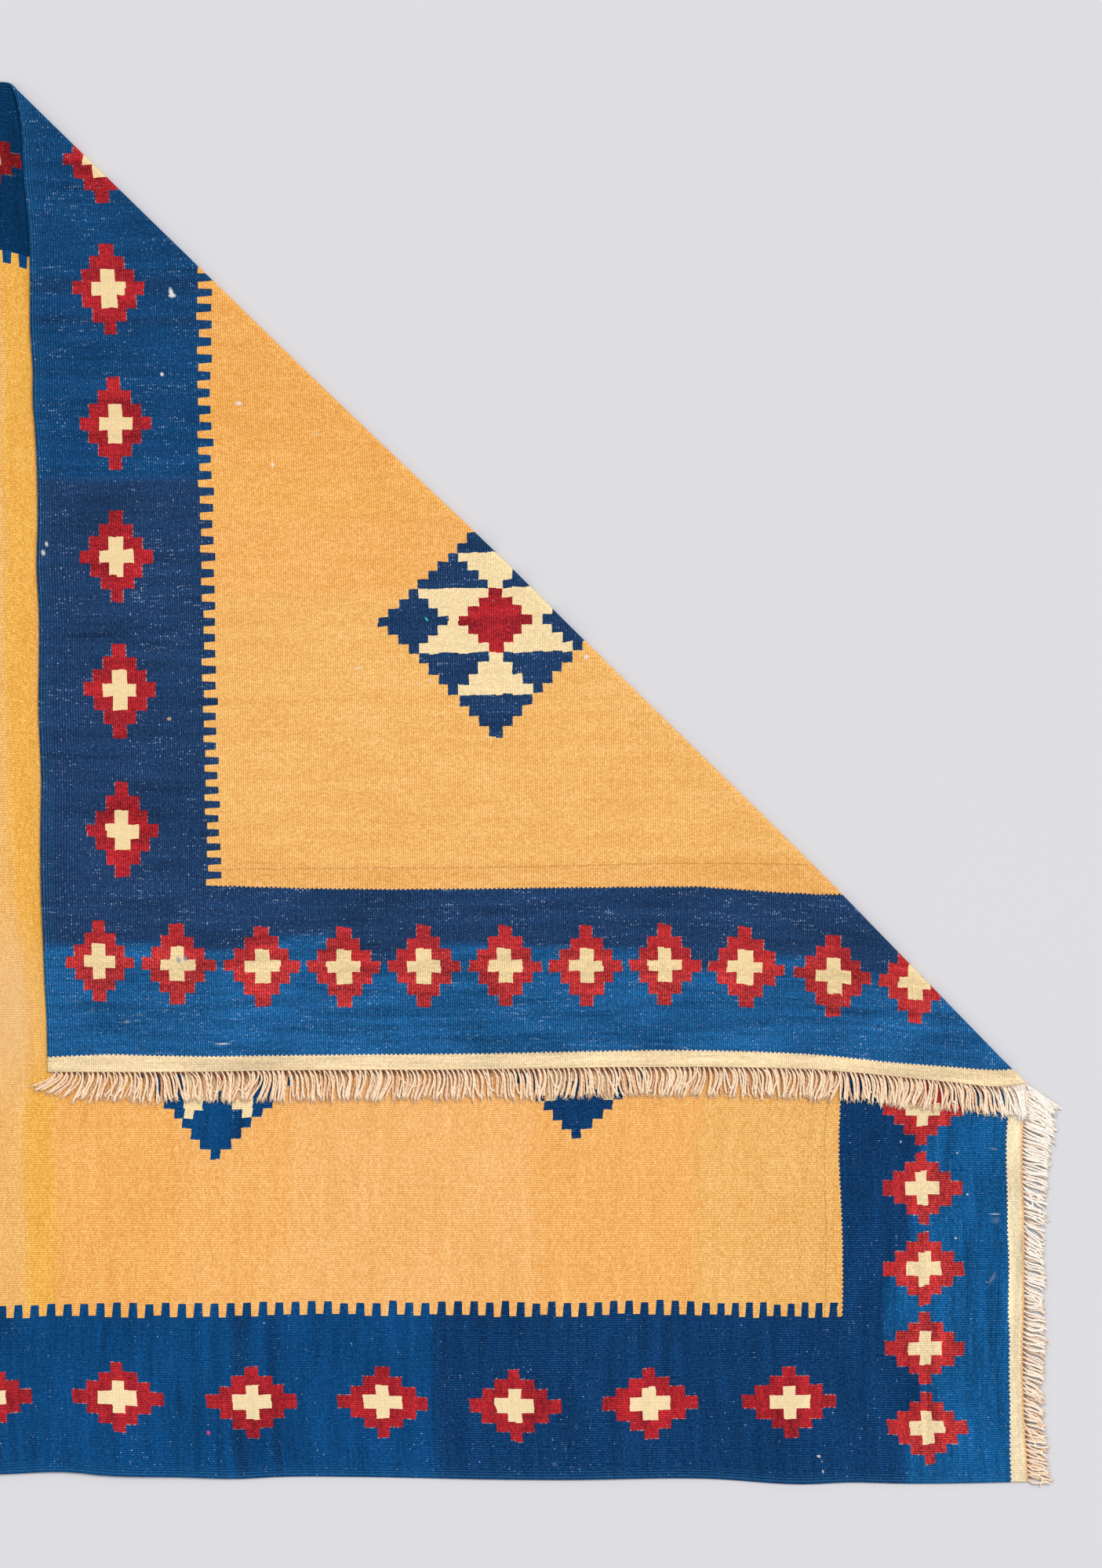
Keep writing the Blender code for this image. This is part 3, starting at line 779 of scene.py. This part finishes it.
# The cloth's surface by its flat place. Steps are whole numbers, so each limit on them lies at a half.
def clothMaterial(groups):
    material, tree = newMaterial("dyedWool")
    along, across, underside = places(tree, "flatPlace")
    sideCount, sideOff, endCount = places(tree, "motifPlace")
    endOff, teeth, dyePlace = places(tree, "motifRows")
    column, row = places(tree, "medallionPlace")[:2]
    pastBand, pastField, pastComb = places(tree, "edgePlace")
    grown = noiseOver(tree, along, across)
    waver = (grown(38, 26, 0.0, 2.0) - 0.5) * 6 + (grown(5, 3.2, 6.0) - 0.5) * 1.3
    sway = (grown(30, 45, 12.0, 2.0) - 0.5) * 4 + (grown(1.5, 6, 3.0) - 0.5) * 1.1

    def lozenge(kind, alongOff, acrossOff, number):
        return useGroup(tree, groups["stepped"], Along=alongOff + waver, Across=acrossOff + sway,
                        Motif=number, **lozenges[kind]["steps"])

    def twoSided(name, place=None):
        sides = (wool[name], reverseWool[name])
        if place:
            sides = (dyeLots(tree, place, lots) for lots in sides)
        return blend(tree, underside, *sides)

    sideMotif, endMotif, medallion = sideCount.round(), endCount.round(), column.round()
    side = lozenge("side", (sideCount - sideMotif) * lozenges["side"]["pitch"], sideOff, sideMotif)
    end = lozenge("end", endOff, (endCount - endMotif) * lozenges["end"]["pitch"], endMotif + 100)
    big = lozenge("medallion", (column - medallion) * lozenges["medallion"]["pitch"],
                  (row - row.round()) * lozenges["medallion"]["rowPitch"],
                  medallion + row.round() * 10 + 200)

    # The borders, with a comb's teeth at the sides. Colours meet in a zigzag over each second rib.
    twoRibs = across / (2 * weaving["ribPitch"])
    zigzag = twoRibs.fract().under(0.5) * 1.4 - 0.7
    inEnd = pastField.under(waver * 0.25 + zigzag)
    isTooth = abs(teeth - teeth.round()).under(0.259 - pastComb * 0.003)
    toothNumber = isTooth * teeth.round() + (1 - isTooth) * (teeth.floor() + 0.5)
    toothStray = (chance(tree, toothNumber, underside.round(), 2.0) - 0.5) * 4
    inSide = pastComb.under(isTooth * 17 - 8.5 + toothStray + sway * 0.25)
    inBorder = inEnd.most(inSide)
    inBand = pastBand.under(zigzag + waver * 0.08)

    # The medallion: blue rim, cream ground with four blue lozenges, and a red heart.
    rows, columns, level = big["Rows"], big["Columns"], big["Level"]
    inMedallion = (level.under(11.5) * (1 - inBorder) * column.over(0.5) * column.under(4.5)
                   * abs(row - 0.5).under(1.0))
    shoulders = rows.over(3.5) * (abs(columns - 4) + rows - 4).under(3.5)
    sides = rows.under(3.5) * (abs(columns - 8) + rows).under(3.5)
    blueInside = rows.over(7.5).most(shoulders).most(sides)
    heart = rows.under(3.5) * level.under(3.5)

    # The small lozenges: a cream cross in red.
    small = inEnd * end["Level"] + (1 - inEnd) * side["Level"]
    inSmall = small.under(3.5) * inBorder
    inCross = small.under(1.5) * inBorder
    slits = (inEnd * end["Slit"] + (1 - inEnd) * side["Slit"]) * inBorder + big["Slit"] * (1 - inBorder)

    isBlue = (inMedallion * blueInside).most(inBorder)
    plainBlue = isBlue * (1 - inSmall)
    isBright = inEnd * dyePlace.under(brightEnd["limit"])
    isRed = (inMedallion * heart).most(inSmall)
    isAmber = (1 - isBlue) * (1 - inMedallion) * (1 - inBand)
    redShade = grown(22, 60, 14.0, 2.0) * 2.6 - 0.9 + (grown(2.2, 7, 15.0) - 0.5) * 2.2
    red = blend(tree, redShade.clamped(), blend(tree, inEnd, wool["red"], wool["endRed"]),
                blend(tree, inEnd, wool["darkRed"], wool["darkEndRed"]))
    rootLine = (1.0 - along / 3.6 + twoRibs.fract() * 0.6).clamped() * across.under(476)

    # Wear, bare warps and loose fibres.
    weave = useGroup(tree, groups["weave"], Along=along, Across=across,
                     Amount=(plainBlue * wearAndShadow["bareBlue"] + wearAndShadow["bare"]) * (underside * 0.8 + 0.2))
    worn = blend(tree, isRed, blend(tree, isBlue, wool["wornAmber"], wool["wornBlue"]), wool["wornRed"])
    wornShare = wearAndShadow["worn"] + isBright * wearAndShadow["wornBright"] - isRed * wearAndShadow["wornRed"]
    fluff = ((grown(1.2, 2.8, 21.0) - 0.67) * 9).clamped() * isBlue * (1 - inSmall)
    fluffShare = underside * wearAndShadow["fluffReverse"] + isBright * wearAndShadow["fluffBright"] + wearAndShadow["fluff"]
    slitDots = chance(tree, (along / 1.6).floor(), (across / 3).floor(), 4.0).over(0.72)

    amberPlace = along + (noise(tree, across / 200, along / 300) - 0.5) * 20
    colour = layered(
        tree, twoSided("ambers", amberPlace),
        (inMedallion, wool["medallionCream"]),
        (isBlue, twoSided("blues", dyePlace + sway * 0.2)),
        (isRed, red),
        (inCross, twoSided("crossCream")),
        (inBand, twoSided("cream")),
        (rootLine * (1 - underside) * wearAndShadow["rootLine"], wool["rootLine"]),
        (weave["Crown"] * wornShare * (1 - inCross) * (1 - inBand), worn),
        (weave["Bare"] * (1 - inBand), blend(tree, isAmber, wool["fleck"], wool["amberFleck"])),
        (fluff * fluffShare, wool["fleck"]),
        (slits * (1 - inBand) * slitDots * wearAndShadow["slits"], wool["slit"]))

    # Unevenness of the dye with the weave's painted groove shade, stronger in the red and weaker in the pale
    # parts. Darker amber is deeper coloured too.
    streaks = useGroup(tree, groups["streaks"], Along=along, Across=across,
                       Amount=plainBlue * wearAndShadow["streaksBlue"] + isRed * wearAndShadow["streaksRed"] + wearAndShadow["streaks"])
    usual = 1.05
    unevenAndShade = weave["Shade"] * streaks["Shade"] - usual
    evenness = isRed * 0.7 + isBlue * 0.2 + isBright * 0.5 - isAmber * 0.55 - inBand * 0.6 - inCross * 1.4
    shade = unevenAndShade * (1.0 + evenness).most(0.3) + usual + inBand * 0.06 - isBright * 0.06
    colour = blend(tree, 1.0, colour, vector(tree, shade, shade, shade), "MULTIPLY")
    colour = addNode(tree, "ShaderNodeGamma", Color=colour, Gamma=1.0 - unevenAndShade * isAmber).outputs["Color"]

    darkWeft = (abs(along - wearAndShadow["darkWeftAt"] + sway * 0.5).under(0.8) * (1 - inBorder)
                * noise(tree, across / 9, 3.0).over(0.42))
    rust = (((grown(1.1, 4.0, 33.0) - 0.60) * 8).clamped() * isAmber * (1 - underside)
            * ((wearAndShadow["rustTo"] - along) / wearAndShadow["rustFade"]).clamped())
    halfWidth = cloth["width"] / mm / 2
    fromSelvedge = halfWidth - abs(across - halfWidth)
    cords = (fromSelvedge / 3.6 + 0.15).fract().under(0.34) * (1.25 - fromSelvedge / 14).clamped()
    colour = layered(tree, colour, (darkWeft * wearAndShadow["darkWeft"], wool["darkWeft"]),
                     (rust * wearAndShadow["rust"], wool["rust"]),
                     (cords * wearAndShadow["cords"] * (1 - inBand), wool["wornBlue"]))
    # Painted shadow of the folded flap on the cloth's face near the back selvedge.
    behind = (1 - underside) * across.over(wearAndShadow["foldShadowFrom"]) * wearAndShadow["behind"]
    colour = blend(tree, behind, colour, wearAndShadow["foldShadowColour"], "MULTIPLY")
    finishMaterial(tree, (weave["Height"], 1.0, weaving["relief"] * mm), Specular_IOR_Level=0.03,
                   Base_Color=marked(tree, colour, along, across, underside),
                   Roughness=weave["Height"] * -0.10 + 0.95)
    return material


yarn = {
    "sides": 6, "steps": (0, 0.05, 0.12, 0.22, 0.34, 0.47, 0.60, 0.73, 0.85, 0.94, 1.0),
    "twist": 12.0,  # mm for a turn of the two plies
    "radius": 1.28, "radiusVaries": 0.08, "lowestThicker": 1.30,
    "bendAt": 0.515, "bendReach": 0.022, "bendThinner": 0.40,  # where the end turns over the fold
    "rootIn": 1.2,  # mm inside the cloth's end
    "grouped": (-0.25, 0.08, 0.40), "rootStray": 0.2,  # shifts in a group of three
    "lockChance": 0.13, "lockLean": 1.2, "lockReach": 0.9, "gathered": 0.14,
    "lean": 2.1, "strayLean": 6.0, "tip": 0.8, "strayTip": 3.5, "reachVaries": 0.055,
    "hump": 1.0, "strayHump": 1.4, "lie": 1.35, "lieUpper": 1.43,
}
fibre = {"sides": 3, "count": 3, "countBend": 3, "length": 4.0, "lengthVaries": 2.5, "lengthBend": 5,
         "fan": 0.45, "radii": (0.38, 0.42, 0.34, 0.12), "above": 0.35}
# The yarn's colours from dark to light, pale ones near the fold, and the colours painted as shade at the
# roots.
yarnColours = dyed({
    "light": (264, 238, 206), "mid": (252, 209, 165), "dark": (216, 148, 100), "paintedShade": (118, 66, 42),
    "paleLight": (266, 258, 248), "paleMid": (262, 244, 226), "paleDark": (246, 224, 200),
    "palePaintedShade": (168, 124, 94),
})
# How far the ends lean, how long they are and how far apart, closer where the end turns over the fold. The
# yarn is paler near the fold.
rightLean = {
    "across": (0, 20, 60, 130, 210, 300, 400, 440, 480, 508, 515, 517),
    "shift": (-3, -7, -12, -14, -11, -14, -12, -16, -22, -24, -6, 0),
}
flapLean = {
    "across": (517, 521, 532, 548, 604, 655, 695, 736, 772, 823, 895, 951, 1007, 1060, 1093, 1129, 1180,
        1246, 1313, 1384, 1430, 1476, 1517, 1553, 1619, 1675, 1721, 1742, 1762, 1784),
    "shift": (0, -5, -17, -13, -8, 3, -6, -8, 2, -3, -7, 3, 2, -11, -6, 0, -7, -4, 2, 4, -8, -4, 6, -1, -9,
        0, 8, 17, 28, 34),
}
leftLean = {"across": (0, 180, 420, 650, 900, 1180, 1400, 1784), "shift": (4, -5, 3, -6, 5, -3, 6, -4)}
rightReach = {"across": (0, 300, 380, 420, 460, 490, 505, 517), "reach": (27, 28, 31, 36, 41, 43, 44, 45)}
flapReach = {"across": (517, 530, 560, 1740, 1770, 1784), "reach": (45, 42, 37, 37, 32, 28)}
leftReach = {"across": (0, 1784), "reach": (35, 35)}
rightPitch = {"across": (0, 410, 460, 517), "pitch": (2.2, 2.1, 1.3, 0.7)}
flapPitch = {"across": (517, 530, 560, 1784), "pitch": (0.7, 1.3, 2.1, 2.2)}
leftPitch = {"across": (0, 1784), "pitch": (2.5, 2.5)}
paleness = {
    "across": (0, 90, 220, 330, 535, 560, 600, 1784),
    "pale": (0.25, 0.5, 0.85, 1, 1, 0.35, 0.06, 0),
}
fringes = {
    "rightFringe": {"node": "fringe_right", "end": 0.0, "span": (0.003, 0.517), "stray": 0.16, "seed": 11,
                    "reach": rightReach, "lean": rightLean, "pitch": rightPitch, "hook": -2.6, "curl": 2.4},
    "flapFringe": {"node": "fringe_flap", "end": 0.0, "span": (0.517, 1.782), "stray": 0.07, "seed": 23,
                   "reach": flapReach, "lean": flapLean, "pitch": flapPitch, "hook": -4.5, "curl": 1.1},
    "leftFringe": {"node": "fringe_left", "end": 2.520, "span": (0.003, 1.781), "stray": 0.06, "seed": 37,
                   "reach": leftReach, "lean": leftLean, "pitch": leftPitch, "hook": 1.0, "curl": 1.2},
}


# Tubes along paths (strand, step, xyz) of radii (strand, step). Each ring lies square to its path:
# side = tangent x up, top = side x tangent, ring = path + radius (cos side + sin top).
def tubes(paths, radii, sides, first=0):
    tangent = np.gradient(paths, axis=1)
    tangent /= np.linalg.norm(tangent, axis=2, keepdims=True) + 1e-12
    side = np.cross(tangent, np.array((0.03, 0.02, 1.0)))
    side /= np.linalg.norm(side, axis=2, keepdims=True) + 1e-12
    top = np.cross(side, tangent)
    turn = np.arange(sides) * 2 * math.pi / sides
    ring = (paths[:, :, None] + radii[:, :, None, None] * (np.cos(turn)[:, None] * side[:, :, None]
                                                           + np.sin(turn)[:, None] * top[:, :, None]))
    strands, steps = paths.shape[:2]
    index = np.arange(strands * steps * sides).reshape(strands, steps, sides) + first
    ahead = np.roll(index, -1, 2)
    quads = np.stack([index[:, :-1], ahead[:, :-1], ahead[:, 1:], index[:, 1:]], -1).reshape(-1, 4)
    caps = np.concatenate([index[:, 0, ::-1], index[:, -1]])
    return ring.reshape(-1, 3), quads.tolist() + caps.tolist()


# A direction of the flat cloth on the floor plan: its part across the fold times cos(out / bendRadius).
def turnedPlan(direction, out):
    turned = np.cos(np.clip(out / cloth["bendRadius"], 0, math.pi))[:, None]
    plan = foldRun * np.dot(direction, foldRun) + foldOut * np.dot(direction, foldOut) * turned
    return plan / np.linalg.norm(plan, axis=1, keepdims=True)


# What a strand lies on: the floor, or for the flap the cloth below it up to its right end.
def groundUnder(made, x, y):
    if made["node"] != "fringe_flap":
        return ripple(x, y)
    along, _ = flatOf(x, y)
    return cloth["thick"] * easeIn(along, -0.050, -0.030) + ripple(x, y)


# Where the ends leave the cloth: their number up to a place is the sum of 1 / pitch. Each three shifts by
# grouped, in parts of a pitch, which leaves a slit.
def rootPlaces(made, chanceOf):
    place = np.linspace(*made["span"], 3000)
    number = np.cumsum(1 / np.interp(place / mm, *made["pitch"].values())) * (place[1] - place[0]) / mm
    index = np.arange(int(number[-1]))
    root = np.interp(index + 0.5, number, place)
    moved = np.array(yarn["grouped"])[index % 3] * np.gradient(root)
    return root + moved + chanceOf.normal(0, yarn["rootStray"] * mm, len(root))


# Each plied end leans, hooks and curls as it sinks to what it lies on: with t from 0 to 1, place = root
# + away * reach t + sideways * (lean t^bend + hook 6.75 t (1 - t)^2 + tip t^4 + curl t (sin(6.5 t + phase)
# - sin(phase))). Ends gather in locks and a few stray. Of three, the first is on top, the second lowest.
def strandPaths(made, root, radius, chanceOf):
    count = len(root)
    upper = np.array((1.0, 0.0, 0.55))[np.arange(count) % 3]
    rootIn = yarn["rootIn"] * mm
    atRight = made["end"] == 0
    inside = rootIn + endPlace(root) if atRight else np.full(count, cloth["length"] - rootIn)
    start, _ = onCloth(inside, root)
    _, rootOut = foldPlace(*planOf(inside, root))
    away = turnedPlan((1.0 if atRight else -1.0, 0.0), rootOut)
    sideways = turnedPlan((0.0, 1.0), rootOut)
    part = np.array(yarn["steps"])[None]
    lock = np.cumsum(chanceOf.random(count) < yarn["lockChance"])
    lockMiddle = (np.bincount(lock, root) / np.maximum(np.bincount(lock), 1))[lock]
    lockLean = chanceOf.normal(0, yarn["lockLean"] * mm, lock[-1] + 1)[lock]
    stray = (chanceOf.random(count) < made["stray"]) * (upper > 0.5)
    lean = fromTable(made["lean"], root) + lockLean + (lockMiddle - root) * yarn["gathered"]
    lean += chanceOf.normal(0, 1, count) * (yarn["lean"] + yarn["strayLean"] * stray) * mm
    reach = np.interp(root / mm, *made["reach"].values()) * mm
    reach = reach * (1 + chanceOf.normal(0, yarn["reachVaries"], count))
    reach += chanceOf.normal(0, yarn["lockReach"] * mm, lock[-1] + 1)[lock]
    bend = (1.15 + 0.8 * chanceOf.random(count))[:, None]
    hook = (made["hook"] * mm * (1 + 0.4 * chanceOf.normal(0, 1, count)))[:, None]
    curl = (made["curl"] * mm * chanceOf.normal(0, 0.6, count))[:, None]
    phase = chanceOf.random(count)[:, None] * 2 * math.pi
    tip = (chanceOf.normal(0, 1, count) * (yarn["tip"] + yarn["strayTip"] * stray) * mm)[:, None]
    straight = np.sqrt(np.clip(reach ** 2 - lean ** 2 * 0.8, (reach * 0.55) ** 2, None))
    shortened = 1 - abs(tip) / 0.020 * part ** 5
    outDistance = (straight[:, None] + rootIn) * part * shortened
    sideDistance = (lean[:, None] * part ** bend + hook * 6.75 * part * (1 - part) ** 2 + tip * part ** 4
                    + curl * (np.sin(part * 6.5 + phase) - np.sin(phase)) * part)
    flat = (start[:, None, :2] + outDistance[..., None] * away[:, None]
            + sideDistance[..., None] * sideways[:, None])
    lie = groundUnder(made, flat[..., 0], flat[..., 1])
    lie = lie + (radius * (yarn["lie"] + yarn["lieUpper"] * upper))[:, None]
    humps = (yarn["hump"] + yarn["strayHump"] * stray[:, None]) * mm
    humps = humps * (chanceOf.random(count) * upper)[:, None]
    sink = easeIn(part, 0.0, 0.30)
    height = (start[:, None, 2] - 0.5 * mm * (1 - upper)[:, None]) * (1 - sink) + lie * sink
    height = height + humps * np.sin(part * math.pi)
    return np.concatenate([flat, height[..., None]], 2), upper


# Loose fibres fan out from each end's tip: place = tip + heading * length t + aside * bend t^2, with more of
# them from further back near the fold. Owner is the end that each belongs to.
def looseFibres(made, paths, nearBend, chanceOf):
    number = fibre["count"] + np.round(fibre["countBend"] * nearBend).astype(int)
    owner = np.repeat(np.arange(len(paths)), number)
    total = len(owner)
    back = np.round(chanceOf.random(total) * 6 * nearBend[owner]).astype(int)
    first = len(yarn["steps"]) - 2 - back
    tip = paths[owner, first] + chanceOf.normal(0, 0.6 * mm, (total, 3)) * (1, 1, 0.5)
    heading = paths[owner, first + 1, :2] - paths[owner, first - 2, :2]
    heading /= np.linalg.norm(heading, axis=1, keepdims=True)
    fan = chanceOf.normal(0, fibre["fan"], total)
    heading = np.stack([heading[:, 0] * np.cos(fan) - heading[:, 1] * np.sin(fan),
                        heading[:, 0] * np.sin(fan) + heading[:, 1] * np.cos(fan)], 1)
    aside = np.stack([-heading[:, 1], heading[:, 0]], 1)
    length = fibre["length"] + fibre["lengthVaries"] * chanceOf.random(total)
    length = (length + fibre["lengthBend"] * nearBend[owner]) * mm
    bend = chanceOf.normal(0, 1.2 * mm, total)
    part = np.linspace(0, 1, len(fibre["radii"]))[None]
    flat = (tip[:, None, :2] + heading[:, None] * (length[:, None] * part)[..., None]
            + aside[:, None] * (bend[:, None] * part ** 2)[..., None])
    height = tip[:, None, 2] + chanceOf.normal(0, 0.6 * mm, total)[:, None] * part
    height = np.maximum(height, groundUnder(made, flat[..., 0], flat[..., 1]) + fibre["above"] * mm)
    return np.concatenate([flat, height[..., None]], 2), owner


# A fringe: a tube along each path and fibre. An end is thin at its root and swollen near its tip, and the
# lowest of each three is thicker at its root, where it is painted dark as shade in the slits between the
# ends.
def makeFringe(name, material):
    made = fringes[name]
    chanceOf = np.random.default_rng(made["seed"])
    root = rootPlaces(made, chanceOf)
    count, steps, sides = len(root), len(yarn["steps"]), yarn["sides"]
    atRight = made["end"] == 0
    nearBend = np.exp(-(((root - yarn["bendAt"]) / yarn["bendReach"]) ** 2)) * atRight
    radius = (yarn["radius"] - yarn["bendThinner"] * nearBend) * mm
    radius = radius * (1 + yarn["radiusVaries"] * chanceOf.normal(0, 1, count))
    paths, upper = strandPaths(made, root, radius, chanceOf)
    lowest = (upper < 0.1)[:, None]
    radius = radius * np.where(upper < 0.1, yarn["lowestThicker"], 1.0)
    part = np.array(yarn["steps"])[None]
    swell = (0.72 + 0.28 * easeIn(part, 0.06, 0.26) + 0.15 * easeIn(part, 0.70, 0.94)
             - 0.78 * easeIn(part, 0.93, 1.0)) + 0.30 * lowest * (1 - easeIn(part, 0.12, 0.30))
    tubePoints, tubeFaces = tubes(paths, radius[:, None] * swell, sides)
    fibres, owner = looseFibres(made, paths, nearBend, chanceOf)
    fibreRadius = np.tile(np.array(fibre["radii"]) * mm, (len(owner), 1))
    fibrePoints, fibreFaces = tubes(fibres, fibreRadius, fibre["sides"], len(tubePoints))
    faces = tubeFaces + fibreFaces
    piece = meshObject(name, np.concatenate([tubePoints, fibrePoints]), faces, [material])

    # Painted shade: the lower ends of each three get a darker tone than the top one, and each end is darker
    # towards its root; on top of that a random tone per end, whiter near the fold and in the loose fibres.
    toneAndShade = 0.16 + 0.72 * np.sqrt(upper) + 0.16 * chanceOf.normal(0, 1, count) + 0.2 * nearBend
    toneAndShade = np.clip(toneAndShade, 0, 1)
    pale = np.interp(root / mm, *paleness.values()) if atRight else np.full(count, 0.35)
    # Painted shade at the roots: the lowest end darkest up to 0.3 of its length, the others half as dark at
    # the very root, less near the fold.
    paintedShade = (np.clip((0.30 - part) / 0.14, 0, 1) * lowest
            + np.clip((0.06 - part) / 0.06, 0, 1) * ~lowest * 0.5) * (1 - 0.7 * nearBend)[:, None]
    ring = len(fibre["radii"]) * fibre["sides"]
    none = np.zeros(len(fibrePoints))
    tonesAndShade = np.concatenate([np.repeat((toneAndShade[:, None] + part * 0.12).ravel(), sides),
                            np.repeat(toneAndShade[owner] + 0.2, ring)])
    paintedShades = np.concatenate([np.repeat(paintedShade.ravel(), sides), none])
    pales = np.concatenate([np.repeat(pale, steps * sides), np.repeat(pale[owner], ring)])
    addPlaces(piece, "strandPlace", (np.clip(tonesAndShade, 0, 1), paintedShades, pales))
    around = np.tile(np.arange(sides) * 2 * math.pi / sides, count * steps)
    reached = np.repeat((part * 0.036 / mm + 50 * chanceOf.random(count)[:, None]).ravel(), sides)
    twist = ((np.cos(around), none + 1), (np.sin(around), none), (reached, none))
    addPlaces(piece, "twistPlace", [np.concatenate(both) for both in twist])
    print(name + ":", count, "ends,", sum(len(face) - 2 for face in faces), "triangles")
    return piece


# Two plies wound round each other: height = |cos(angle - 2 pi reached / twist)|. Tone with its painted
# shade, fuzz, stain and ply add up to the mix, from dark over mid to light; the ply term is painted shade in
# the groove between the plies.
def yarnMaterial():
    material, tree = newMaterial("pliedYarn")
    toneAndShade, paintedShade, pale = places(tree, "strandPlace")
    sideOn, topOn, reached = places(tree, "twistPlace")
    spot = addNode(tree, "ShaderNodeTexCoord").outputs["Object"]
    x, y, z = (wire / mm for wire in splitUp(tree, spot))
    fuzz = noise(tree, x / 0.9, y / 0.9, z / 0.9, 3.0, 0.65)
    stain = noise(tree, x / 22, y / 22, 0.0, 2.0)
    ply = abs((topOn.maths("ARCTAN2", sideOn) - reached * (2 * math.pi / yarn["twist"])).cosine())
    # The ply term is painted shade, darker in the groove between the plies.
    mix = (toneAndShade + (fuzz - 0.5) * 0.5 + (stain - 0.5) * 0.6 + (ply - 0.6) * 0.36).clamped()

    def mixed(dark, mid, lightest):
        darker = blend(tree, (mix * 2).clamped(), yarnColours[dark], yarnColours[mid])
        return blend(tree, (mix * 2 - 1).clamped(), darker, yarnColours[lightest])

    shown = blend(tree, pale, mixed("dark", "mid", "light"), mixed("paleDark", "paleMid", "paleLight"))
    # The colours painted as shade at the roots.
    shaded = blend(tree, pale, yarnColours["paintedShade"], yarnColours["palePaintedShade"])
    finishMaterial(tree, (ply + fuzz * 0.5, 0.7, 0.4 * mm), Base_Color=blend(tree, paintedShade, shown, shaded),
                   Roughness=fuzz * 0.15 + 0.82, Sheen_Weight=0.12, Specular_IOR_Level=0.2)
    return material


studio = {"photoHeight": 2000, "mmPerPixel": 1.0, "middle": (0.6702, -0.0017), "height": 7.0, "sensor": 36.0,
          "floor": dyed((223, 223, 228)), "floorHalf": 9.0}


# A pale floor with clouds of 2%.
def makeFloor():
    material, tree = newMaterial("paleFloor")
    spot = addNode(tree, "ShaderNodeTexCoord").outputs["Object"]
    cloudy = addNode(tree, "ShaderNodeTexNoise", Vector=spot, Scale=1.2, Detail=2.0)
    shade = Wire(tree, cloudy.outputs["Fac"]) * 0.02 + 0.99
    colour = blend(tree, 1.0, studio["floor"], vector(tree, shade, shade, shade), "MULTIPLY")
    finishMaterial(tree, Base_Color=colour, Roughness=0.9, Specular_IOR_Level=0.1)
    half = studio["floorHalf"]
    corners = np.array([(-half, -half, 0), (half, -half, 0), (half, half, 0), (-half, half, 0)])
    meshObject("floor", corners, [(0, 1, 2, 3)], [material], smooth=False)


# A soft room and a wide, soft sun.
def makeLight():
    scene = bpy.context.scene
    scene.view_settings.view_transform = "Standard"
    scene.view_settings.look = "None"
    world = bpy.data.worlds.new("softRoom")
    world.use_nodes = True
    background = world.node_tree.nodes["Background"]
    background.inputs["Color"].default_value = (*light["skyColour"], 1.0)
    background.inputs["Strength"].default_value = light["sky"]
    scene.world = world
    sun = bpy.data.lights.new("softSun", "SUN")
    sun.energy, sun.color, sun.angle = light["sun"], light["sunColour"], math.radians(light["sunWidth"])
    lamp = bpy.data.objects.new("softSun", sun)
    lamp.rotation_euler = (math.radians(light["sunTilt"]), 0.0, math.radians(light["sunTurn"] + 90))
    scene.collection.objects.link(lamp)


# Straight above: lens = sensor * height / the length of floor that the photo's height shows.
def makeCamera():
    view = bpy.data.cameras.new("overhead")
    view.sensor_fit, view.sensor_height, view.sensor_width = "VERTICAL", studio["sensor"], studio["sensor"]
    view.lens = studio["sensor"] * studio["height"] / (studio["photoHeight"] * studio["mmPerPixel"] * mm)
    view.clip_end = 50.0
    camera = bpy.data.objects.new("overhead", view)
    camera.location = (*studio["middle"], studio["height"])
    bpy.context.scene.collection.objects.link(camera)
    bpy.context.scene.camera = camera


makeFloor()
makeLight()
makeCamera()
print("floor, light and camera made")

groups = {"weave": weaveGroup(), "streaks": streakGroup(), "stepped": steppedGroup()}
rugCloth = makeCloth(clothMaterial(groups))
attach(rugCloth, "root")
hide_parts("kilim_cloth")

yarnFinish = yarnMaterial()
for name in fringes:
    fringe = makeFringe(name, yarnFinish)
    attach(fringe, "root")
    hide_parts(fringes[name]["node"])
print("rug dressed")
